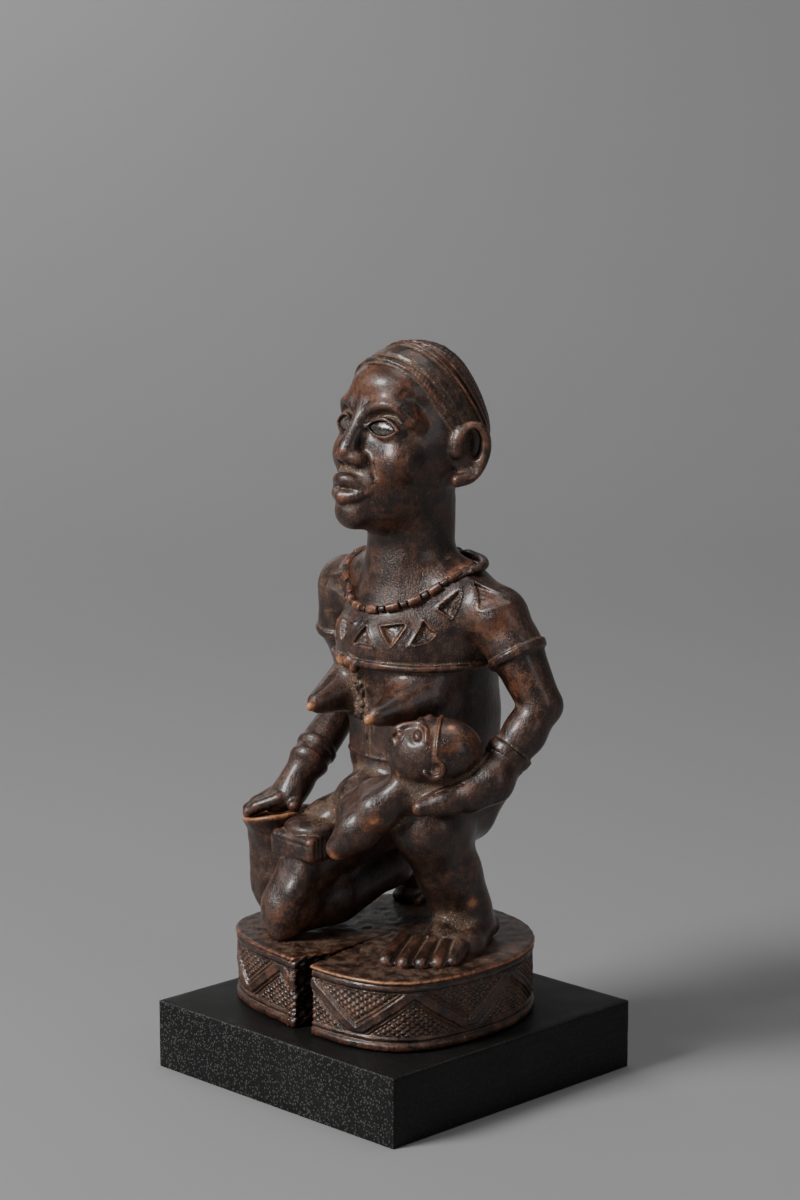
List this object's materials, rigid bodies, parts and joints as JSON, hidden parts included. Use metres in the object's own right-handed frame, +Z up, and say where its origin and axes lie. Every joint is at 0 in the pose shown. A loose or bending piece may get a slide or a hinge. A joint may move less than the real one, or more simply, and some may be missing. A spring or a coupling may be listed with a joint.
{
  "type": "carved wooden maternity figure",
  "caption": "Carved wooden figure of a kneeling woman with a child across her lap, on a round carved base and a square painted plinth.",
  "frame": {"origin": "middle of the plinth's underside", "axes": "+Z up, the woman looks along -Y, her left hand is on the +X side, and the plinth's sides run along X and Y"},
  "size_m": [0.1316, 0.13, 0.2851],
  "materials": {
    "carved_wood": "dark red-brown hardwood, oiled, with worn high spots and dust in the recesses",
    "black_paint": "wood painted satin black",
    "inlay_glass": "cloudy glass backed with pale resin"
  },
  "bodies": {
    "root": {"maternity_figure": "carved_wood", "display_plinth": "black_paint", "eye_inlay_left": "inlay_glass", "eye_inlay_right": "inlay_glass"}
  },
  "joints": []
}
